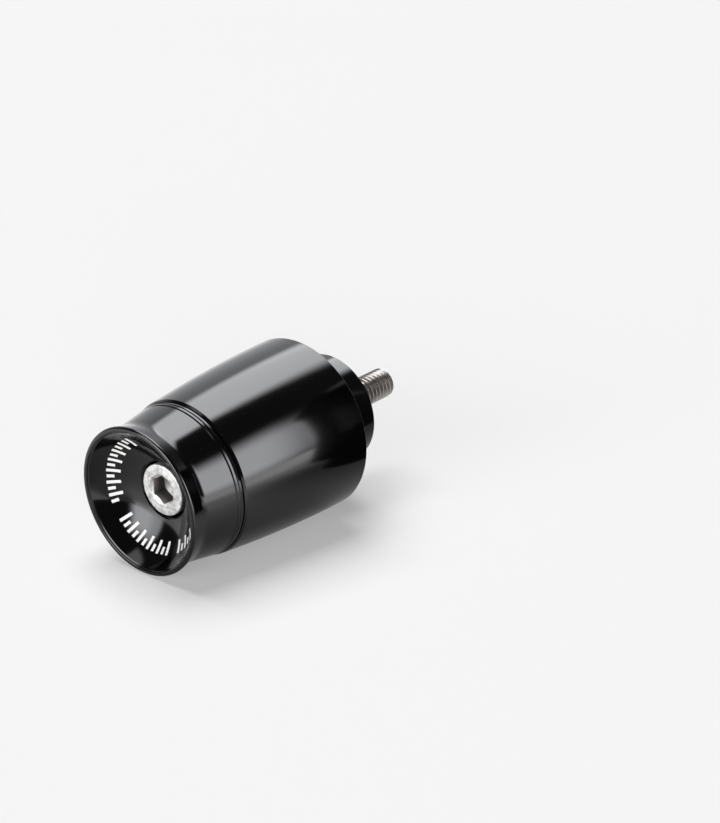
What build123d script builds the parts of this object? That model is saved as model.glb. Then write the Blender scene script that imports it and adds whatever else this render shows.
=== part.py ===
from build123d import *
import math
import os

# Bar end weight for a motorbike's handlebar, turned from bar stock in three black pieces that one
# socket head screw clamps together: a dished end cap, a thin trim ring and the weight itself.
# Sizes are in millimetres. X is the turning axis: the rim faces -X, and the collar's end face,
# which seats on the end of the bar, is X = 0, so the screw's free end points along +X. +Z is up.

# Lengths along the axis
cap_length = 11.45
ring_width = 0.95
weight_length = 30.4
collar_length = 9.5

# Outer radii
ring_radius = 14.75
weight_radius = 17.0
collar_radius = 10.75

# End cap: steps in radius from the ring to the cap's end, its waist and its flared rim
cap_end_step = 0.07
waist_drop = 1.24
rim_flare = 0.9

# End cap: outside
waist_from_rim = 3.75
waist_blend = 5.0
lip_width = 1.05
lip_outer_round = 0.45
lip_inner_round = 0.3
land_length = 0.5
line_width = 0.36
line_depth = 0.16
seam_edge = 0.1

# End cap: dish, counterbore and spigot
dish_depth = 6.45
dish_bow = 1.0
dish_edge = 0.35
head_side_gap = 0.45
spigot_radius = 10.0
spigot_length = 5.15
spigot_chamfer = 0.5
head_seat_depth = 12.2

# Trim ring
ring_edge_chamfer = 0.28

# Weight: step up from the ring, front chamfer, bowed side, rear edge, recess for the spigot, and
# the key on the collar
weight_front_step = 0.4
front_chamfer_length = 0.4
front_chamfer_rise = 0.3
barrel_bow = 0.4
rear_edge_round = 0.3
collar_chamfer = 0.3
recess_end_gap = 0.3
key_width = 8.5
key_depth = 3.1
key_height = 0.85

# Clearances on the radius between pieces that fit together
spigot_clearance = 0.08
screw_clearance = 0.36

# M6 socket head screw, 55 mm under the head. The shank has the pitch radius of its rolled thread.
thread_radius = 2.94
shank_radius = 2.67
screw_length = 55.0
screw_tip_chamfer = 0.6
head_radius = 5.0
head_height = 6.0
head_edge_round = 0.25
socket_sides = 6
socket_flats = 5.0
socket_depth = 3.0
socket_lead_in = 0.05
socket_lead_in_angle = 120.0
socket_point_angle = 120.0

# Radii that follow from the ring, the screw and the clearances
cap_end_radius = ring_radius + cap_end_step
waist_radius = cap_end_radius - waist_drop
rim_radius = waist_radius + rim_flare
weight_front_radius = ring_radius + weight_front_step
screw_hole_radius = thread_radius + screw_clearance
counterbore_radius = head_radius + head_side_gap
recess_radius = spigot_radius + spigot_clearance

# Places along the axis that the pieces share
collar_end_x = 0.0
shoulder_x = collar_end_x - collar_length
weight_front_x = shoulder_x - weight_length
ring_front_x = weight_front_x - ring_width
rim_x = ring_front_x - cap_length
head_seat_x = rim_x + head_seat_depth
spigot_end_x = ring_front_x + spigot_length


def outline(*points):
    """Closed face with straight sides through points given as (place along the axis, radius)."""
    return make_face(Polyline(*points, close=True))


def rounded(face, corner, radius):
    """The face with the corner nearest to a point rounded off."""
    return fillet(face.vertices().sort_by_distance((*corner, 0))[0], radius)


def chamfered(face, corner, length):
    """The face with the corner nearest to a point cut off."""
    return chamfer(face.vertices().sort_by_distance((*corner, 0))[0], length)


def turned(face):
    """A face drawn in (X, radius), spun about the X axis as the lathe cuts it."""
    return revolve(face, Axis.X)


def end_cap():
    """Outer cap: a flared rim round a bowed dish, a waist, and a spigot that carries the ring."""
    mouth_radius = rim_radius - lip_width
    dish_floor_x = rim_x + dish_depth
    line_end_x = ring_front_x - land_length
    rim = (rim_x, rim_radius)
    mouth = (rim_x, mouth_radius)
    waist = (rim_x + waist_from_rim, waist_radius)
    spigot_end = (spigot_end_x, spigot_radius)
    dish_foot = (dish_floor_x, counterbore_radius + dish_edge)
    flank_slope = waist_drop / (ring_front_x - waist[0])

    def on_flank(x, cut=0.0):
        """Point on the straight flank from the waist to the cap's end, or cut in below it."""
        return (x, cap_end_radius - flank_slope * (ring_front_x - x) - cut)

    side = Polyline(
        mouth,
        rim,
        waist,
        on_flank(line_end_x - line_width),
        on_flank(line_end_x - line_width / 2, line_depth),
        on_flank(line_end_x),
        on_flank(ring_front_x - seam_edge),
        on_flank(ring_front_x, seam_edge),
        (ring_front_x, spigot_radius),
        spigot_end,
        (spigot_end_x, screw_hole_radius),
        (head_seat_x, screw_hole_radius),
        (head_seat_x, counterbore_radius),
        (dish_floor_x + dish_edge, counterbore_radius),
        dish_foot,
    )
    dish = SagittaArc(dish_foot, mouth, -dish_bow)
    face = make_face([*side.edges(), dish])
    face = rounded(face, rim, lip_outer_round)
    face = rounded(face, mouth, lip_inner_round)
    face = rounded(face, waist, waist_blend)
    face = chamfered(face, spigot_end, spigot_chamfer)
    return turned(face)


def trim_ring():
    """Thin ring that sits on the cap's spigot and is clamped between the cap and the weight."""
    face = outline(
        (ring_front_x, recess_radius),
        (ring_front_x, ring_radius),
        (weight_front_x, ring_radius),
        (weight_front_x, recess_radius),
    )
    face = chamfered(face, (ring_front_x, ring_radius), ring_edge_chamfer)
    face = chamfered(face, (weight_front_x, ring_radius), ring_edge_chamfer)
    return turned(face)


def collar_key():
    """Low key left standing on the collar's end face, which stops the weight from turning."""
    strip = Pos(0, key_depth / 2 - collar_radius) * Rectangle(key_width, key_depth)
    foot = strip & Circle(collar_radius - collar_chamfer)
    return extrude(Plane.YZ.offset(collar_end_x) * foot, key_height)


def weight_body():
    """The weight: a barrel that swells towards the rear, with a collar that reaches the bar."""
    barrel_front = (weight_front_x + front_chamfer_length, weight_front_radius)
    barrel_rear = (shoulder_x, weight_radius)
    recess_x = spigot_end_x + recess_end_gap
    side = Polyline(
        barrel_rear,
        (shoulder_x, collar_radius),
        (collar_end_x, collar_radius),
        (collar_end_x, screw_hole_radius),
        (recess_x, screw_hole_radius),
        (recess_x, recess_radius),
        (weight_front_x, recess_radius),
        (weight_front_x, weight_front_radius - front_chamfer_rise),
        barrel_front,
    )
    barrel = SagittaArc(barrel_front, barrel_rear, barrel_bow)
    face = make_face([*side.edges(), barrel])
    face = rounded(face, barrel_rear, rear_edge_round)
    face = chamfered(face, (collar_end_x, collar_radius), collar_chamfer)
    return turned(face) + collar_key()


def cap_screw():
    """Socket head screw that holds the pieces together and threads into the bar's end."""
    face_x = head_seat_x - head_height
    tip_x = head_seat_x + screw_length
    thread_x = collar_end_x
    blank = outline(
        (face_x, 0),
        (face_x, head_radius),
        (head_seat_x, head_radius),
        (head_seat_x, shank_radius),
        (thread_x + shank_radius - thread_radius, shank_radius),
        (thread_x, thread_radius),
        (tip_x, thread_radius),
        (tip_x, 0),
    )
    blank = rounded(blank, (face_x, head_radius), head_edge_round)
    blank = chamfered(blank, (tip_x, thread_radius), screw_tip_chamfer)
    return turned(blank) - hex_socket(face_x)


def hex_socket(face_x):
    """Hexagonal key socket with a lead-in at its mouth and a drill point at its floor."""
    flat_radius = socket_flats / 2
    mouth_radius = flat_radius / math.cos(math.pi / socket_sides) + socket_lead_in
    lead_in_length = mouth_radius / math.tan(math.radians(socket_lead_in_angle / 2))
    point_length = flat_radius / math.tan(math.radians(socket_point_angle / 2))
    floor_x = face_x + socket_depth
    mouth = Plane(origin=(face_x, 0, 0), x_dir=(0, 0, 1), z_dir=(1, 0, 0))
    hexagon = RegularPolygon(flat_radius, socket_sides, major_radius=False)
    broached = extrude(mouth * hexagon, socket_depth)
    drilled = turned(outline((floor_x, 0), (floor_x, flat_radius), (floor_x + point_length, 0)))
    lead_in = turned(outline((face_x, 0), (face_x, mouth_radius), (face_x + lead_in_length, 0)))
    return broached + drilled + lead_in


os.makedirs("parts", exist_ok=True)
for make_piece in (end_cap, trim_ring, weight_body, cap_screw):
    export_step(make_piece(), f"parts/{make_piece.__name__}.step")
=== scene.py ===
import math

import bmesh
import bpy
from mathutils import Matrix, Vector


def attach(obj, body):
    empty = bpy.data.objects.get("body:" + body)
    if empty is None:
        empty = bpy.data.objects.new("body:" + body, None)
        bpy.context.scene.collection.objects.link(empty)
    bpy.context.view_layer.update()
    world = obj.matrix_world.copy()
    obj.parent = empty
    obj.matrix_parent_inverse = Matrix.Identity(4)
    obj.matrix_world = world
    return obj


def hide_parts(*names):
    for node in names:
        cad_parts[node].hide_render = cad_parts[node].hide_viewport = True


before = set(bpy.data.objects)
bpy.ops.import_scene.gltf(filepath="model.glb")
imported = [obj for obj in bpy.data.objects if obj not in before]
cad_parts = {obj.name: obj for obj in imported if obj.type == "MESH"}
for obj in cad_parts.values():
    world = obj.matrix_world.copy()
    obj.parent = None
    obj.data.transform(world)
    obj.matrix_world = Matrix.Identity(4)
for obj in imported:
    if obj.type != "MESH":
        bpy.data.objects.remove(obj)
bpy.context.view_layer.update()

# End cap.
# The outer cap is turned from aluminium bar: a flared lip round a bowed dish that takes the screw's
# head, a waist, and a spigot behind that carries the ring. It is polished and anodised gloss black.
MM = 0.001
LATHE_STEPS = 288
ROUND_STEPS = 8
SHARP_ANGLE = math.radians(15)
WELD = 0.001 * MM
ANODISE_IOR = 1.576
DEEP_BLACK = (0.0006, 0.0006, 0.0007)
DUST_GREY = (0.3, 0.3, 0.3)
LINE_DEPTH = 0.0006 * MM

rim_x = -52.3
cap_back_x = -40.85
cap_back_radius = 14.82
flank_slope = 0.161
dish_foot = (-45.85, 5.8)
dish_mouth_radius = 13.43
dish_bow = 1.0
dish_floor_x = -45.5
head_seat_x = -40.1
counterbore_radius = 5.45
screw_hole_radius = 3.3
spigot_end_x = -35.7
spigot_radius = 10.0
spigot_chamfer = 0.5


def rounded_outline(corners, edge=0.06):
    """Points (x, radius) of an outline whose corners are (x, radius, rounding), in millimetres."""
    points = []
    for i, (x, r, rounding) in enumerate(corners):
        here = Vector((x, r))
        if not rounding or i in (0, len(corners) - 1):
            points.append(here)
            continue
        back = (Vector(corners[i - 1][:2]) - here).normalized()
        ahead = (Vector(corners[i + 1][:2]) - here).normalized()
        half = math.acos(max(-1, min(1, back.dot(ahead)))) / 2
        reach = rounding / math.tan(half)
        centre = here + (back + ahead).normalized() * (rounding / math.sin(half))
        start, end = here + back * reach - centre, here + ahead * reach - centre
        turn = start.angle_signed(end)
        points.append(here + back * (reach + edge))
        for step in range(ROUND_STEPS + 1):
            swing = Matrix.Rotation(-turn * step / ROUND_STEPS, 2)
            points.append(centre + swing @ start)
        points.append(here + ahead * (reach + edge))
    return [(p.x, p.y) for p in points]


def bowed(start, end, bow, steps):
    """Points on the arc from start to end, which bulges by bow to the left of the way there."""
    a, b = Vector(start), Vector(end)
    chord = b - a
    side = Vector((-chord.y, chord.x)).normalized()
    radius = (chord.length ** 2 / 4 + bow ** 2) / (2 * bow)
    centre = (a + b) / 2 + side * (bow - radius)
    sweep = (a - centre).angle_signed(b - centre)
    arc = [centre + Matrix.Rotation(-sweep * i / steps, 2) @ (a - centre) for i in range(steps + 1)]
    return [(p.x, p.y) for p in arc]


def node(tree, kind, inputs=None, **settings):
    """A node of a tree, with its settings, and its inputs set or linked."""
    made = tree.nodes.new(kind)
    for key, value in settings.items():
        setattr(made, key, value)
    for key, value in (inputs or {}).items():
        if isinstance(value, bpy.types.NodeSocket):
            tree.links.new(value, made.inputs[key])
        else:
            made.inputs[key].default_value = value
    return made


def maths(tree, operation, *values):
    """The result of one Math node, in a tree of shader or geometry nodes."""
    return node(tree, "ShaderNodeMath", dict(enumerate(values)), operation=operation).outputs[0]


def geometry_tree(name, **inputs):
    """A Geometry Nodes tree with the named inputs, and its input and output nodes."""
    tree = bpy.data.node_groups.new(name, "GeometryNodeTree")
    tree.interface.new_socket("Geometry", in_out="INPUT", socket_type="NodeSocketGeometry")
    for key, kind in inputs.items():
        tree.interface.new_socket(key, in_out="INPUT", socket_type=f"NodeSocket{kind}")
    tree.interface.new_socket("Geometry", in_out="OUTPUT", socket_type="NodeSocketGeometry")
    return tree, tree.nodes.new("NodeGroupInput").outputs, tree.nodes.new("NodeGroupOutput").inputs


def finish_tree(tree, geometry, material, target):
    """Ends a tree in Realize Instances and Set Material."""
    real = node(tree, "GeometryNodeRealizeInstances", {0: geometry})
    named = node(tree, "GeometryNodeSetMaterial", {"Geometry": real.outputs[0], "Material": material})
    tree.links.new(named.outputs[0], target[0])


def grow(tree, mesh, **values):
    """The plain mesh that a Geometry Nodes tree makes of a mesh, with its inputs set by name."""
    carrier = bpy.data.objects.new("carrier", mesh)
    bpy.context.scene.collection.objects.link(carrier)
    modifier = carrier.modifiers.new("grow", "NODES")
    modifier.node_group = tree
    for socket in tree.interface.items_tree:
        if socket.in_out == "INPUT" and socket.name in values:
            modifier[socket.identifier] = values[socket.name]
    depsgraph = bpy.context.evaluated_depsgraph_get()
    result = bpy.data.meshes.new_from_object(carrier.evaluated_get(depsgraph))
    carrier.modifiers.clear()
    bpy.data.objects.remove(carrier)
    return result


def spread_of_points(points):
    """A mesh that is only points, in millimetres here and in metres there."""
    mesh = bpy.data.meshes.new("points")
    mesh.from_pydata([[c * MM for c in p] for p in points], [], [])
    return mesh


def grid_of(tree, rows, columns):
    """A grid, and the row and the column of each of its points."""
    grid = node(tree, "GeometryNodeMeshGrid", {"Vertices X": rows, "Vertices Y": columns})
    index = node(tree, "GeometryNodeInputIndex").outputs[0]
    row = maths(tree, "FLOOR", maths(tree, "DIVIDE", maths(tree, "ADD", index, 0.5), columns))
    column = maths(tree, "SUBTRACT", index, maths(tree, "MULTIPLY", row, columns))
    return grid.outputs["Mesh"], row, column


def closed_skin(tree, grid, place):
    """The grid moved to new places, welded where they meet, and shaded smooth."""
    placed = node(tree, "GeometryNodeSetPosition", {"Geometry": grid, "Position": place})
    welded = node(tree, "GeometryNodeMergeByDistance", {"Geometry": placed.outputs[0], "Distance": WELD})
    return node(tree, "GeometryNodeSetShadeSmooth", {"Geometry": welded.outputs[0]}).outputs[0]


def lathe_tree():
    """Spins the points (x, radius) of an outline about the X axis into a closed skin."""
    tree, given, out = geometry_tree("lathe", Points="Int", Steps="Int", Material="Material")
    columns = maths(tree, "ADD", given["Steps"], 1)
    grid, row, column = grid_of(tree, given["Points"], columns)
    place = node(tree, "GeometryNodeInputPosition").outputs[0]
    found = node(tree, "GeometryNodeSampleIndex", {"Geometry": given["Geometry"]},
                 data_type="FLOAT_VECTOR", domain="POINT", clamp=True)
    tree.links.new(place, found.inputs["Value"])
    tree.links.new(row, found.inputs["Index"])
    angle = maths(tree, "DIVIDE", maths(tree, "MULTIPLY", column, 2 * math.pi), given["Steps"])
    spun = node(tree, "ShaderNodeVectorRotate", {"Vector": found.outputs[0], "Angle": angle},
                rotation_type="X_AXIS")
    finish_tree(tree, closed_skin(tree, grid, spun.outputs[0]), given["Material"], out)
    return tree


def turned(outline, material):
    """The mesh that an outline of points (x, radius) makes when it is spun about the X axis."""
    points = spread_of_points([(x, r, 0) for x, r in outline])
    return grow(lathe, points, Points=len(outline), Steps=LATHE_STEPS, Material=material)


def ring_outline(outline):
    """An outline that ends where it starts, for a piece with a hole through it."""
    return outline + outline[:1]


def piece(name, meshes, replaced):
    """One object of several closed meshes, faces outwards, that stands for a node of the frame."""
    shell = bmesh.new()
    for mesh in meshes:
        shell.from_mesh(mesh)
    bmesh.ops.dissolve_degenerate(shell, dist=WELD / 10, edges=shell.edges)
    bmesh.ops.recalc_face_normals(shell, faces=shell.faces)
    whole = bpy.data.meshes.new(name)
    shell.to_mesh(whole)
    shell.free()
    for mesh in meshes:
        for material in mesh.materials:
            if material and material.name not in whole.materials:
                whole.materials.append(material)
    whole.set_sharp_from_angle(angle=SHARP_ANGLE)
    made = bpy.data.objects.new(name, whole)
    bpy.context.scene.collection.objects.link(made)
    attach(made, "root")
    if replaced:
        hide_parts(replaced)
    return made


def shader_group(name, inputs, outputs):
    """A shader node group with named inputs, given as (name, kind, default), and named outputs."""
    tree = bpy.data.node_groups.new(name, "ShaderNodeTree")
    for key, kind, default in inputs:
        socket = tree.interface.new_socket(key, in_out="INPUT", socket_type=f"NodeSocket{kind}")
        socket.default_value = default
    for key, kind in outputs:
        tree.interface.new_socket(key, in_out="OUTPUT", socket_type=f"NodeSocket{kind}")
    return tree, tree.nodes.new("NodeGroupInput").outputs, tree.nodes.new("NodeGroupOutput").inputs


def place_on_part(tree):
    """The shaded point's place, its part along the X axis and its distance out from that axis."""
    place = node(tree, "ShaderNodeTexCoord").outputs["Object"]
    split = node(tree, "ShaderNodeSeparateXYZ", {0: place})
    out_yz = maths(tree, "POWER", maths(tree, "ADD", maths(tree, "POWER", split.outputs["Y"], 2.0),
                                       maths(tree, "POWER", split.outputs["Z"], 2.0)), 0.5)
    return place, split.outputs["X"], out_yz


def lathe_lines_group():
    """Fine rings that the lathe tool leaves, read from the distance along and out from the X axis."""
    tree, given, out = shader_group(
        "lathe_lines", [("Pitch", "Float", 0.0001), ("Lay", "Float", 1.0)], [("Height", "Float")])
    _, x, out_yz = place_on_part(tree)
    along = maths(tree, "ADD", x, maths(tree, "MULTIPLY", out_yz, given["Lay"]))
    turns = maths(tree, "DIVIDE", along, given["Pitch"])
    noise = node(tree, "ShaderNodeTexNoise", {"W": turns, "Scale": 1.0, "Detail": 3.0, "Roughness": 0.7},
                 noise_dimensions="1D")
    tree.links.new(noise.outputs[0], out["Height"])
    return tree


def handling_group():
    """Faint smears and specks of dust, as a mask from 0, clean, to 1."""
    tree, given, out = shader_group(
        "handling", [("Smear Size", "Float", 0.01), ("Speck Size", "Float", 0.0003)],
        [("Smears", "Float"), ("Specks", "Float")])
    place = node(tree, "ShaderNodeTexCoord").outputs["Object"]
    smear = node(tree, "ShaderNodeTexNoise", {
        "Vector": place, "Scale": maths(tree, "DIVIDE", 1.0, given["Smear Size"]), "Detail": 4.0,
        "Distortion": 0.6})
    soft = node(tree, "ShaderNodeMapRange", {"Value": smear.outputs[0], "From Min": 0.45, "From Max": 0.75},
                interpolation_type="SMOOTHSTEP")
    speck = node(tree, "ShaderNodeTexVoronoi", {
        "Vector": place, "Scale": maths(tree, "DIVIDE", 1.0, given["Speck Size"])})
    cells = node(tree, "ShaderNodeSeparateColor", {0: speck.outputs["Color"]})
    few = maths(tree, "GREATER_THAN", cells.outputs[0], 0.985)
    small = maths(tree, "LESS_THAN", speck.outputs["Distance"], 0.22)
    tree.links.new(soft.outputs[0], out["Smears"])
    tree.links.new(maths(tree, "MULTIPLY", few, small), out["Specks"])
    return tree


def new_material(name):
    """A material with its node tree and its shader."""
    material = bpy.data.materials.new(name)
    material.use_nodes = True
    return material, material.node_tree, material.node_tree.nodes["Principled BSDF"]


def blend(tree, factor, low, high):
    """A colour between two, each a socket or (red, green, blue)."""
    ends = [end if isinstance(end, bpy.types.NodeSocket) else (*end, 1) for end in (low, high)]
    made = node(tree, "ShaderNodeMix", {"Factor": factor, "A": ends[0], "B": ends[1]}, data_type="RGBA")
    return made.outputs["Result"]


def black_anodise(name, roughness, line_pitch):
    """Gloss black anodised aluminium, with the turning lines that the polish left in it."""
    material, tree, shader = new_material(name)
    shader.inputs["IOR"].default_value = ANODISE_IOR
    lines = node(tree, "ShaderNodeGroup", node_tree=lathe_lines)
    lines.inputs["Pitch"].default_value = line_pitch
    touch = node(tree, "ShaderNodeGroup", node_tree=handling)
    dulled = maths(tree, "MULTIPLY_ADD", touch.outputs["Smears"], 0.02, roughness)
    rough = maths(tree, "MULTIPLY_ADD", lines.outputs["Height"], 0.02, dulled)
    tree.links.new(rough, shader.inputs["Roughness"])
    dusty = blend(tree, maths(tree, "MULTIPLY", touch.outputs["Specks"], 0.08), DEEP_BLACK, DUST_GREY)
    tree.links.new(dusty, shader.inputs["Base Color"])
    bump = node(tree, "ShaderNodeBump", {"Height": lines.outputs["Height"], "Strength": 1.0,
                                         "Distance": LINE_DEPTH})
    tree.links.new(bump.outputs[0], shader.inputs["Normal"])
    return material


def on_flank(x, cut=0.0):
    """A corner on the cap's straight flank, which rises to its back, or cut in below the flank."""
    return (x, cap_back_radius - flank_slope * (cap_back_x - x) - cut, 0)


lathe = lathe_tree()
lathe_lines = lathe_lines_group()
handling = handling_group()

cap_black = black_anodise("cap_black_gloss", 0.09, 0.12 * MM)
dish = bowed(dish_foot, (rim_x, dish_mouth_radius), -dish_bow, 40)
cap_outline = rounded_outline([
    (rim_x + 0.35, dish_mouth_radius - 0.05, 0), (rim_x, dish_mouth_radius, 0.3), (rim_x, 14.48, 0.45),
    (-48.55, 13.58, 5.0), on_flank(-41.71), on_flank(-41.53, 0.16), on_flank(-41.35),
    on_flank(-40.95), on_flank(cap_back_x, 0.1), (cap_back_x, spigot_radius, 0),
    (spigot_end_x - spigot_chamfer, spigot_radius, 0), (spigot_end_x, spigot_radius - spigot_chamfer, 0),
    (spigot_end_x, screw_hole_radius, 0), (head_seat_x, screw_hole_radius, 0),
    (head_seat_x, counterbore_radius, 0), (dish_floor_x, counterbore_radius, 0.05), (*dish_foot, 0)])
cap_outline = ring_outline(dish[:-2] + cap_outline[1:-1])
piece("cap", [turned(cap_outline, cap_black)], "end_cap")

# Trim ring.
# A thin ring turned from the same bar as the cap, black anodised too. It sits on the cap's spigot
# and is clamped between the cap and the weight, with its two outer edges cut off.
ring_black = black_anodise("ring_black_gloss", 0.09, 0.12 * MM)
weight_front_x = -39.9
ring_radius = 14.75
ring_chamfer = 0.28
recess_radius = 10.08
ring_outer = [
    (cap_back_x, recess_radius), (cap_back_x, ring_radius - ring_chamfer),
    (cap_back_x + ring_chamfer, ring_radius), (weight_front_x - ring_chamfer, ring_radius),
    (weight_front_x, ring_radius - ring_chamfer), (weight_front_x, recess_radius)]
piece("ring", [turned(ring_outline(ring_outer), ring_black)], "trim_ring")

# Weight.
# One heavy piece turned from bar: a bowed barrel that swells towards the rear, and a collar that
# reaches the handlebar's end, with a low key on its face. It is black anodised like the cap.
shoulder_x = -9.5
barrel_front, barrel_rear = (-39.5, 15.15), (shoulder_x, 17.0)
barrel_bow = 0.4
recess_end_x = -35.4
collar_radius = 10.75
collar_chamfer = 0.3
key_corner = 7.65
key_half_width = 4.25
key_height, key_edge = 0.85, 0.1
key_rim = collar_radius - collar_chamfer

weight_black = black_anodise("weight_black_gloss", 0.10, 0.14 * MM)
side = bowed(barrel_front, barrel_rear, barrel_bow, 60)
rear = rounded_outline([side[-2] + (0,), (*barrel_rear, 0.08), (shoulder_x, collar_radius, 0)])
inside = [
    (0, key_rim), (0, screw_hole_radius), (recess_end_x, screw_hole_radius), (recess_end_x, recess_radius),
    (weight_front_x, recess_radius), (weight_front_x, 14.85), barrel_front]
weight_outline = side[:-2] + rear + [(-collar_chamfer, collar_radius)] + inside


def key_mesh(material):
    """The key: a low block across the collar's face, cut off by the collar's own edge."""
    sweep = math.asin(key_half_width / key_rim)
    steps = 24
    arc = [-sweep + 2 * sweep * i / steps for i in range(steps + 1)]
    foot = [(key_rim * math.sin(a), -key_rim * math.cos(a)) for a in arc]
    foot = [(-key_half_width, -key_corner)] + foot + [(key_half_width, -key_corner)]
    levels = ((-0.3, 0.0), (key_height - key_edge, 0.0), (key_height, key_edge))
    middle = Vector((0, -(key_corner + key_rim) / 2))
    block = bmesh.new()
    rings = []
    for x, inset in levels:
        level = []
        for y, z in foot:
            inward = (middle - Vector((y, z))).normalized() * inset
            level.append(block.verts.new((x * MM, (y + inward.x) * MM, (z + inward.y) * MM)))
        rings.append(level)
    count = len(foot)
    for low, high in zip(rings, rings[1:]):
        for i in range(count):
            block.faces.new((low[i], low[(i + 1) % count], high[(i + 1) % count], high[i]))
    block.faces.new(rings[0][::-1])
    block.faces.new(rings[-1])
    mesh = bpy.data.meshes.new("key")
    block.to_mesh(mesh)
    block.free()
    mesh.materials.append(material)
    return mesh


weight_skin = turned(ring_outline(weight_outline[:-1]), weight_black)
piece("weight", [weight_skin, key_mesh(weight_black)], "weight_body")

# Screw.
# A stainless M6 socket head screw, cold headed and with a rolled thread. It goes through the cap and
# the weight, and its thread stands out of the collar to pull the whole into the handlebar's end.
head_face_x = -46.1
head_radius = 5.0
socket_half_flats = 2.5
socket_lead_in = 0.22
socket_floor_x = head_face_x + 3.0
thread_start_x, screw_tip_x = -9.1, 14.9
thread_pitch, thread_radius, shank_radius = 1.0, 2.94, 2.67


def thread_tree():
    """A thread on the X axis: a grid that climbs with the helix, cut off flat at both ends."""
    tree, given, out = geometry_tree(
        "thread", Start="Float", Length="Float", Pitch="Float", Crest="Float", Depth="Float",
        Chamfer="Float", Turns="Int", Rows="Int", Steps="Int", Material="Material")
    columns = maths(tree, "ADD", given["Steps"], 1)
    rows = maths(tree, "MULTIPLY_ADD", maths(tree, "ADD", given["Turns"], 2), given["Rows"], 1)
    grid, row, column = grid_of(tree, rows, columns)
    around = maths(tree, "DIVIDE", column, given["Steps"])
    turn = maths(tree, "SUBTRACT", maths(tree, "DIVIDE", row, given["Rows"]), 1.0)
    climb = maths(tree, "ADD", turn, around)
    length = maths(tree, "DIVIDE", given["Length"], given["Pitch"])
    along = maths(tree, "MINIMUM", maths(tree, "MAXIMUM", climb, 0.0), length)
    phase = maths(tree, "FRACT", maths(tree, "ADD", maths(tree, "SUBTRACT", along, around), 2.0))
    from_root = maths(tree, "ABSOLUTE", maths(tree, "MULTIPLY_ADD", phase, 2.0, -1.0))
    rise = node(tree, "ShaderNodeMapRange", {"Value": from_root, "From Min": 0.16, "From Max": 0.87,
                                             "To Min": 0.0, "To Max": 1.0})
    flank = maths(tree, "MULTIPLY_ADD", maths(tree, "SUBTRACT", rise.outputs[0], 1.0), given["Depth"],
                  given["Crest"])
    x = maths(tree, "MULTIPLY", along, given["Pitch"])
    to_tip = maths(tree, "SUBTRACT", given["Length"], x)
    limit = maths(tree, "ADD", maths(tree, "SUBTRACT", given["Crest"], given["Chamfer"]), to_tip)
    radius = maths(tree, "MINIMUM", flank, limit)
    last = maths(tree, "SUBTRACT", rows, 1.5)
    inside = maths(tree, "MULTIPLY", maths(tree, "GREATER_THAN", row, 0.5),
                   maths(tree, "LESS_THAN", row, last))
    reach = maths(tree, "MULTIPLY", radius, inside)
    angle = maths(tree, "MULTIPLY", around, 2 * math.pi)
    place = node(tree, "ShaderNodeCombineXYZ", {
        "X": maths(tree, "ADD", x, given["Start"]),
        "Y": maths(tree, "MULTIPLY", reach, maths(tree, "COSINE", angle)),
        "Z": maths(tree, "MULTIPLY", reach, maths(tree, "SINE", angle))})
    finish_tree(tree, closed_skin(tree, grid, place.outputs[0]), given["Material"], out)
    return tree


def round_axis_tree():
    """Copies of a mesh set round the X axis, each a fixed angle after the one before."""
    tree, given, out = geometry_tree(
        "round_axis", Count="Int", First="Float", Step="Float", Material="Material")
    points = node(tree, "GeometryNodePoints", {"Count": given["Count"]})
    index = node(tree, "GeometryNodeInputIndex").outputs[0]
    angle = maths(tree, "MULTIPLY_ADD", index, given["Step"], given["First"])
    turn = node(tree, "ShaderNodeCombineXYZ", {"X": angle})
    copies = node(tree, "GeometryNodeInstanceOnPoints", {
        "Points": points.outputs[0], "Instance": given["Geometry"], "Rotation": turn.outputs[0]})
    finish_tree(tree, copies.outputs[0], given["Material"], out)
    return tree


def hexagon_radius(angle):
    """Distance from the axis to the socket's wall, whose corners stand up and down."""
    sixth = math.pi / 3
    return socket_half_flats / math.cos((angle % sixth) - sixth / 2)


def head_mesh(material):
    """The screw's head with its hexagon socket, as rings from the socket's point round to the seat."""
    lead_in = hexagon_radius(0) + socket_lead_in
    steep = math.tan(math.radians(60))
    floor_x = socket_floor_x
    corner = rounded_outline([
        (head_face_x, 4.0, 0), (head_face_x, head_radius, 0.25), (-45.2, head_radius, 0)])
    rings = [
        lambda a: (floor_x + 1.443, 0.0), lambda a: (floor_x + 0.05, 2.41), lambda a: (floor_x, 2.5),
        lambda a: (floor_x, hexagon_radius(a) - 0.002), lambda a: (floor_x - 0.02, hexagon_radius(a)),
        lambda a: (head_face_x + (lead_in - hexagon_radius(a)) / steep + 0.04, hexagon_radius(a)),
        lambda a: (head_face_x + (lead_in - hexagon_radius(a)) / steep, hexagon_radius(a)),
        lambda a: (head_face_x, lead_in), lambda a: (head_face_x, lead_in + 0.03)]
    rings += [lambda a, x=x, r=r: (x, r) for x, r in corner]
    rings += [lambda a, x=x, r=r: (x, r) for x, r in (
        (-45.2, head_radius), (-45.1, head_radius - 0.12), (-40.3, head_radius - 0.12),
        (head_seat_x, head_radius - 0.3), (head_seat_x, 0.0))]
    steps = 192
    shell = bmesh.new()
    grid = []
    for ring_at in rings:
        level = []
        for i in range(steps):
            a = 2 * math.pi * i / steps
            x, r = ring_at(a)
            level.append(shell.verts.new((x * MM, r * math.sin(a) * MM, r * math.cos(a) * MM)))
        grid.append(level)
    for low, high in zip(grid, grid[1:]):
        for i in range(steps):
            j = (i + 1) % steps
            shell.faces.new((low[i], low[j], high[j], high[i]))
    bmesh.ops.remove_doubles(shell, verts=shell.verts, dist=WELD / 2)
    for face in shell.faces:
        face.smooth = True
    mesh = bpy.data.meshes.new("head")
    shell.to_mesh(mesh)
    shell.free()
    mesh.materials.append(material)
    return mesh


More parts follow.
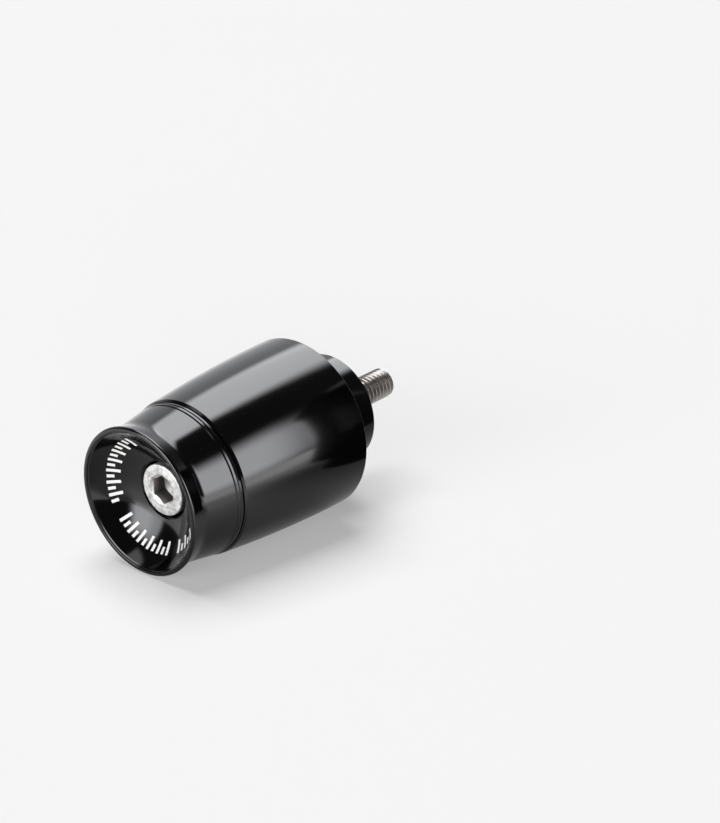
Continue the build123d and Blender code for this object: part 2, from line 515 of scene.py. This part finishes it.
def knurl_tooth():
    """One straight tooth of the head's knurl, a low wedge along the X axis."""
    mesh = bpy.data.meshes.new("tooth")
    half, foot, top = 0.24, head_radius - 0.2, head_radius - 0.01
    ends = ((-45.0, -44.8), (-40.5, -40.7))
    corners = []
    for foot_x, top_x in ends:
        corners += [(foot_x, -half, foot), (foot_x, half, foot), (top_x, 0.0, top)]
    faces = [(0, 1, 2), (5, 4, 3), (0, 3, 4, 1), (1, 4, 5, 2), (2, 5, 3, 0)]
    mesh.from_pydata([[c * MM for c in p] for p in corners], [], faces)
    return mesh


def step_along(tree, value, start, end):
    """A mask that goes from 0 to 1 as a value goes from start to end."""
    ends = {"Value": value, "From Min": start, "From Max": end}
    return node(tree, "ShaderNodeMapRange", ends).outputs[0]


def screw_steel_material():
    """Stainless steel: a coarse satin face on the head, a dull socket with painted shade deep down its
    walls, and a brighter rolled thread.
    """
    material, tree, shader = new_material("screw_steel_satin")
    shader.inputs["Metallic"].default_value = 1.0
    lines = node(tree, "ShaderNodeGroup", node_tree=lathe_lines)
    lines.inputs["Pitch"].default_value = 0.12 * MM
    touch = node(tree, "ShaderNodeGroup", node_tree=handling)
    touch.inputs["Smear Size"].default_value = 1.8 * MM
    place, x, out_yz = place_on_part(tree)
    in_head = step_along(tree, x, -44.0 * MM, -45.0 * MM)
    deep = step_along(tree, x, (head_face_x + 0.4) * MM, (head_face_x + 0.5) * MM)
    in_socket = maths(tree, "MULTIPLY", step_along(tree, out_yz, 3.6 * MM, 3.4 * MM), deep)
    in_socket = maths(tree, "MULTIPLY", in_socket, step_along(tree, x, -40.0 * MM, -41.0 * MM))
    on_face = maths(tree, "MULTIPLY", in_head, maths(tree, "SUBTRACT", 1.0, in_socket))
    # Painted shade: the socket's walls go darker deeper down, above its floor.
    down_wall = step_along(tree, x, (head_face_x + 0.5) * MM, (head_face_x + 1.8) * MM)
    above_floor = step_along(tree, x, (socket_floor_x - 0.01) * MM, (socket_floor_x - 0.03) * MM)
    socket_painted_shade = maths(tree, "MULTIPLY", maths(tree, "MULTIPLY", in_socket, down_wall), above_floor)
    steel = blend(tree, in_head, (0.47, 0.445, 0.42), (0.60, 0.585, 0.57))
    steel = blend(tree, socket_painted_shade, steel, (0.16, 0.152, 0.145))
    steel = blend(tree, maths(tree, "MULTIPLY", touch.outputs["Smears"], 0.5), steel, (0.28, 0.265, 0.25))
    blotch = node(tree, "ShaderNodeTexNoise", {
        "Vector": place, "Scale": 900.0, "Detail": 3.0, "Roughness": 0.7})
    blotches = step_along(tree, blotch.outputs[0], 0.38, 0.62)
    face = blend(tree, blotches, (0.60, 0.59, 0.58), (0.97, 0.965, 0.95))
    tree.links.new(blend(tree, on_face, steel, face), shader.inputs["Base Color"])
    rough = maths(tree, "MULTIPLY_ADD", touch.outputs["Smears"], 0.1, 0.24)
    rough = maths(tree, "MULTIPLY_ADD", maths(tree, "MAXIMUM", on_face, in_socket), 0.24, rough)
    rough = maths(tree, "MULTIPLY_ADD", lines.outputs["Height"], 0.08, rough)
    tree.links.new(rough, shader.inputs["Roughness"])
    grain = node(tree, "ShaderNodeTexNoise", {"Vector": place, "Scale": 2600.0, "Detail": 2.0})
    relief = maths(tree, "MULTIPLY_ADD", maths(tree, "MULTIPLY", grain.outputs[0], on_face), 5.0,
                   maths(tree, "MULTIPLY", lines.outputs["Height"], 0.3))
    bump = node(tree, "ShaderNodeBump", {"Height": relief, "Strength": 1.0, "Distance": 0.004 * MM})
    tree.links.new(bump.outputs[0], shader.inputs["Normal"])
    return material


screw_steel = screw_steel_material()
round_axis = round_axis_tree()
knurl_teeth = 60
shank_outline = [
    (head_seat_x, 0), (head_seat_x, 3.2), (head_seat_x + 0.3, shank_radius),
    (thread_start_x, shank_radius), (thread_start_x, 0)]
knurl = grow(round_axis, knurl_tooth(), Count=knurl_teeth, First=0.0, Step=2 * math.pi / knurl_teeth,
             Material=screw_steel)
thread = grow(thread_tree(), spread_of_points([(0, 0, 0)]), Start=thread_start_x * MM,
              Length=(screw_tip_x - thread_start_x) * MM, Pitch=thread_pitch * MM,
              Crest=thread_radius * MM, Depth=0.6 * MM, Chamfer=0.6 * MM, Turns=24, Rows=16, Steps=72,
              Material=screw_steel)
piece("screw", [head_mesh(screw_steel), knurl, turned(shank_outline, screw_steel), thread],
      "cap_screw")

# Dish marks.
# Short plain bars, laser etched white in the dish after anodising. They follow the dish's bow in
# three runs, and have no depth that a finger could feel.
mark_inner, mark_outer = 9.3, 11.4
mark_width = 0.6
mark_shorter = 0.9
mark_proud = 0.012
mark_step = 6.5
mark_runs = ((118, 203), (222, 290), (305, 338))


def mark_bar(inner, outer, width):
    """One bar that lies along the dish from one radius to another, at the angle of -Y."""
    arc = bowed(dish_foot, (rim_x, dish_mouth_radius), -dish_bow, 200)
    line = [p for p in arc if inner <= p[1] <= outer][::4]
    corners, faces = [], []
    for i, (x, r) in enumerate(line):
        ahead = Vector(line[min(i + 1, len(line) - 1)]) - Vector(line[max(i - 1, 0)])
        lift = Vector((-ahead.y, ahead.x)).normalized()
        if lift.x > 0:
            lift = -lift
        for side_y in (-width / 2, width / 2):
            for rise in (-mark_proud, mark_proud):
                corners.append((x + lift.x * rise, -(r + lift.y * rise), side_y))
    for i in range(len(line) - 1):
        a, b = 4 * i, 4 * i + 4
        for p, q in ((0, 1), (1, 3), (3, 2), (2, 0)):
            faces.append((a + p, a + q, b + q, b + p))
    last = 4 * (len(line) - 1)
    faces += [(0, 2, 3, 1), (last, last + 1, last + 3, last + 2)]
    mesh = bpy.data.meshes.new("bar")
    mesh.from_pydata([[c * MM for c in p] for p in corners], [], faces)
    return mesh


def mark_white_material():
    """White laser etching, a little patchy where the black shows through."""
    material, tree, shader = new_material("mark_white_etched")
    shader.inputs["Roughness"].default_value = 0.55
    place = node(tree, "ShaderNodeTexCoord").outputs["Object"]
    grain = node(tree, "ShaderNodeTexNoise", {"Vector": place, "Scale": 9000.0, "Detail": 2.0})
    tone = blend(tree, grain.outputs[0], (0.68, 0.68, 0.67), (0.92, 0.92, 0.91))
    tree.links.new(tone, shader.inputs["Base Color"])
    return material


mark_white = mark_white_material()
marks = []
for first, last in mark_runs:
    count = round((last - first) / mark_step) + 1
    for start, inner in ((0, mark_inner), (1, mark_inner + mark_shorter)):
        bars = (count + 1 - start) // 2
        marks.append(grow(
            round_axis, mark_bar(inner, mark_outer, mark_width), Count=bars,
            First=-math.radians(first) - start * math.radians(mark_step),
            Step=-2 * math.radians(mark_step), Material=mark_white))
piece("dish_marks", marks, None)

# Floor, light and camera.
# A plain pale floor under the weight, which lies on its rim and on the barrel's rear edge. Soft
# boxes stand behind, left and right, and a black stand-in, seen only in mirrors, puts a painted dark
# reflection on the barrel's far side.
FILL_COLOUR = (1.0, 0.997, 0.992)
ROOM_COLOUR = (0.99, 1.0, 1.03)
BACKDROP_GREY = (0.922, 0.922, 0.922)
lean = math.radians(3.402)
rim_rounding = 0.45
rim_rounding_centre = Vector((-51.85, -14.05))
up = Vector((math.sin(lean), 0, math.cos(lean)))
floor_height = (Vector((up.x, up.z)).dot(rim_rounding_centre) - rim_rounding) * MM

camera_place = Vector((-0.32061, -0.30030, 0.20278))
view_forward = Vector((0.66904, 0.61226, -0.42133))
view_right = Vector((0.66509, -0.74623, -0.02829))
view_up = Vector((0.33173, 0.26130, 0.90646))
away = (view_forward - up * view_forward.dot(up)).normalized()
across = away.cross(up)

middle = Vector((-0.026, 0, 0))
rim_middle = Vector((rim_x, 0, 0)) * MM


def on_floor(point):
    """The place on the floor straight below a point."""
    return point - up * (point.dot(up) - floor_height)


floor_reach = 4.0
floor_seen, floor_glow = (0.488, 0.49, 0.494), 0.304
flag_foot = on_floor(rim_middle) + across * 0.0724 + away * 0.0227


def toward(azimuth, elevation):
    """Direction in the studio: azimuth from straight away from the camera to the right, in degrees."""
    az, el = math.radians(azimuth), math.radians(elevation)
    return (away * math.cos(az) + across * math.sin(az)) * math.cos(el) + up * math.sin(el)


def stage_object(name, mesh):
    """An object that isn't part of the weight."""
    made = bpy.data.objects.new(name, mesh)
    bpy.context.scene.collection.objects.link(made)
    return made


def ramp(tree, value, dark, light):
    """A soft step from 0 where the value is dark to 1 where it is light."""
    low, high = (dark, light) if dark < light else (light, dark)
    ends = (0.0, 1.0) if dark < light else (1.0, 0.0)
    return node(tree, "ShaderNodeMapRange", {
        "Value": value, "From Min": low, "From Max": high, "To Min": ends[0], "To Max": ends[1]},
        interpolation_type="SMOOTHSTEP").outputs[0]


def parts_along(tree, vector, axes):
    """How far a vector reaches along each of several directions."""
    return [node(tree, "ShaderNodeVectorMath", {0: vector, 1: tuple(axis)},
                 operation="DOT_PRODUCT").outputs["Value"] for axis in axes]


def painted_floor_light_in_mirrors(tree):
    """Glow that a mirror sees in the floor: painted shadow near the part and the flag, painted light further
    out.
    """
    place = node(tree, "ShaderNodeTexCoord").outputs["Object"]
    x, y = node(tree, "ShaderNodeSeparateXYZ", {0: place}).outputs[:2]
    past_bar_end = maths(tree, "MULTIPLY_ADD", x, 1.6, 0.032)
    past_rim = maths(tree, "SUBTRACT", -0.036, x)
    past_end = maths(tree, "MAXIMUM", maths(tree, "MAXIMUM", past_bar_end, past_rim), 0.0)
    distance = maths(tree, "POWER", maths(tree, "ADD", maths(tree, "POWER", past_end, 2.0),
                                          maths(tree, "MULTIPLY", y, y)), 0.5)
    from_part = node(tree, "ShaderNodeVectorMath", {0: place, 1: middle}, operation="SUBTRACT").outputs[0]
    beside, beyond = parts_along(tree, from_part, (across, away))
    aside = maths(tree, "ABSOLUTE", beside)
    from_flag = node(tree, "ShaderNodeVectorMath", {0: place, 1: flag_foot}, operation="DISTANCE")
    left_or_back = ramp(tree, maths(tree, "MULTIPLY_ADD", aside, 1.2, beyond), -0.03, 0.02)
    right_or_back = maths(tree, "MAXIMUM", ramp(tree, beside, -0.015, 0.01), left_or_back)
    # Painted shadow on the floor close by: dark under the part, under the flag, and in front on the left
    near = maths(tree, "MULTIPLY", step_along(tree, distance, 0.016, 0.062), 0.85)
    near = maths(tree, "MULTIPLY", near, ramp(tree, from_flag.outputs["Value"], 0.012, 0.045))
    near = maths(tree, "MULTIPLY", near, right_or_back)
    # Painted light on the floor further out on both sides, and the plain glow of the rest, stronger in front
    far_side = maths(tree, "MULTIPLY_ADD", maths(tree, "MINIMUM", beside, 0.0), -0.15, beyond)
    far = maths(tree, "MULTIPLY", ramp(tree, aside, 0.065, 0.16), maths(tree, "MULTIPLY", left_or_back, 1.7))
    far = maths(tree, "MULTIPLY", far, ramp(tree, far_side, 0.0, -0.04))
    front = maths(tree, "MULTIPLY_ADD", ramp(tree, beyond, -0.025, -0.05), 0.17, 0.24)
    return maths(tree, "ADD", front, maths(tree, "ADD", near, far))


def floor_material(seen, glow):
    """A pale table top, in the colour and with the glow that the camera sees; mirrors see it black, lit only
    by a glow that holds painted shadow and painted light.
    """
    material, tree, shader = new_material("floor_white")
    shader.inputs["Specular IOR Level"].default_value = 0.0
    camera_ray = node(tree, "ShaderNodeLightPath").outputs["Is Camera Ray"]
    tree.links.new(blend(tree, camera_ray, (0, 0, 0), seen), shader.inputs["Base Color"])
    strength = node(tree, "ShaderNodeMix", {"Factor": camera_ray, "A": painted_floor_light_in_mirrors(tree), "B": glow},
                    data_type="FLOAT")
    shader.inputs["Emission Color"].default_value = (*FILL_COLOUR, 1)
    tree.links.new(strength.outputs["Result"], shader.inputs["Emission Strength"])
    return material


def softbox(tree, azimuth, elevation, sides, heights, brightness):
    """A soft-edged light: sides and heights are (dark, light, light, dark) angles in degrees."""
    masks = [
        maths(tree, "MULTIPLY", ramp(tree, angle, *ends[:2]), ramp(tree, angle, *ends[:1:-1]))
        for angle, ends in ((azimuth, sides), (elevation, heights))]
    return maths(tree, "MULTIPLY", maths(tree, "MULTIPLY", *masks), brightness)


floor_mesh = bpy.data.meshes.new("floor")
floor_mesh.from_pydata([on_floor(middle) + (away * a + across * b) * floor_reach
                        for a, b in ((-1, -1), (-1, 1), (1, 1), (1, -1))], [], [(0, 1, 2, 3)])
floor_mesh.materials.append(floor_material(floor_seen, floor_glow))
stage_object("floor", floor_mesh)


def fill_light(name, azimuth, elevation, width, height, distance, brightness):
    """A broad area light that reflections don't see, with its angular size in degrees."""
    light = bpy.data.lights.new(name, "AREA")
    light.shape = "RECTANGLE"
    light.size = 2 * distance * math.tan(math.radians(width / 2))
    light.size_y = 2 * distance * math.tan(math.radians(height / 2))
    light.energy = brightness * math.pi * light.size * light.size_y
    light.color = FILL_COLOUR
    holder = bpy.data.objects.new(name, light)
    bpy.context.scene.collection.objects.link(holder)
    direction = toward(azimuth, elevation)
    side = direction.cross(up).normalized()
    tall = side.cross(direction).normalized()
    turn = Matrix((side, tall, direction)).transposed().to_4x4()
    turn.translation = middle + direction * distance
    holder.matrix_world = turn
    holder.visible_camera = False
    holder.visible_glossy = False


fill_light("fill_top", -35, 72, 42, 42, 8.0, 6.6)
fill_light("fill_front", -160, 16, 70, 30, 8.0, 5.6)

# A black stand-in for a second weight, seen only in mirrors: a painted dark reflection on the barrel's far
# side; it casts no shadow.
flag_black, _, flag_shader = new_material("flag_black")
flag_shader.inputs["Base Color"].default_value = (0, 0, 0, 1)
flag_shader.inputs["IOR"].default_value = ANODISE_IOR
flag_shader.inputs["Specular IOR Level"].default_value = 0.15
flag_shader.inputs["Roughness"].default_value = 0.1
flag_outline = [(0, 0), (0, 10.7), (9.5, 10.7), (9.5, 16.6), (24, 16.0), (40, 14.8), (48, 13.6),
                (52.3, 14.4), (52.3, 0)]
turn_up = Matrix((up, across, away)).transposed().to_4x4()
turn_up.translation = flag_foot
flag = stage_object("flag", turned(flag_outline, flag_black))
flag.matrix_world = turn_up
flag.visible_camera = False
flag.visible_shadow = False
flag.visible_diffuse = False

world = bpy.data.worlds.new("studio")
bpy.context.scene.world = world
world.use_nodes = True
world.cycles_visibility.diffuse = False
sky = world.node_tree
for old in list(sky.nodes):
    sky.nodes.remove(old)
way = node(sky, "ShaderNodeTexCoord").outputs["Generated"]
part_across, part_away, part_up = parts_along(sky, way, (across, away, up))
azimuth = maths(sky, "MULTIPLY", maths(sky, "ARCTAN2", part_across, part_away), 180 / math.pi)
elevation = maths(sky, "MULTIPLY", maths(sky, "ARCSINE", part_up), 180 / math.pi)
height_squared = maths(sky, "MULTIPLY", elevation, maths(sky, "MINIMUM", elevation, 45.0))
arched = maths(sky, "MULTIPLY_ADD", maths(sky, "GREATER_THAN", azimuth, 70.0),
               maths(sky, "MULTIPLY", height_squared, 0.0043), azimuth)
off_corner = maths(sky, "ABSOLUTE", maths(sky, "SUBTRACT", azimuth, 10.0))
tilted = maths(sky, "MULTIPLY_ADD", off_corner, -0.45, elevation)
sloped = maths(sky, "MULTIPLY_ADD", maths(sky, "MAXIMUM", azimuth, 0.0), 0.28, elevation)
sky_level = 0.05
# Each box has the height that bounds it, its sides and heights in degrees, and its brightness
for height, sides, heights, brightness in (
        (elevation, (93.8, 103.5, 144, 150), (-8, 8, 28, 45.5), 5.6),
        (elevation, (-154, -141, -104, -97), (-14, 4, 28, 42), 3.7),
        (elevation, (-150, -138, -124, -106), (-14, 4, 20, 36), 2.1),
        (elevation, (-118, -110, -72, -62), (48, 56, 70, 78), 1.25),
        (tilted, (-42, -30, 30, 52), (24, 35, 95, 100), 4.4),
        (elevation, (-42, -30, 30, 52), (36, 75, 95, 100), 2.1),
        (sloped, (-60, -45, 62, 78), (-30, -20, 34, 44), 0.88)):
    sky_level = maths(sky, "ADD", sky_level, softbox(sky, arched, height, sides, heights, brightness))
paths = node(sky, "ShaderNodeLightPath")
room = node(sky, "ShaderNodeBackground", {"Color": (*ROOM_COLOUR, 1), "Strength": sky_level})
plain = node(sky, "ShaderNodeBackground", {"Color": (*BACKDROP_GREY, 1), "Strength": 1.0})
mixed = node(sky, "ShaderNodeMixShader", {
    0: paths.outputs["Is Camera Ray"], 1: room.outputs[0], 2: plain.outputs[0]})
node(sky, "ShaderNodeOutputWorld", {"Surface": mixed.outputs[0]})

camera_data = bpy.data.cameras.new("camera")
camera_data.sensor_width = 36.0
camera_data.lens = 109.51
camera_data.clip_start, camera_data.clip_end = 0.01, 50.0
camera = bpy.data.objects.new("camera", camera_data)
bpy.context.scene.collection.objects.link(camera)
looks = Matrix((view_right, view_up, -view_forward)).transposed().to_4x4()
looks.translation = camera_place
camera.matrix_world = looks
bpy.context.scene.camera = camera
bpy.context.scene.view_settings.view_transform = "Standard"

bpy.context.view_layer.update()
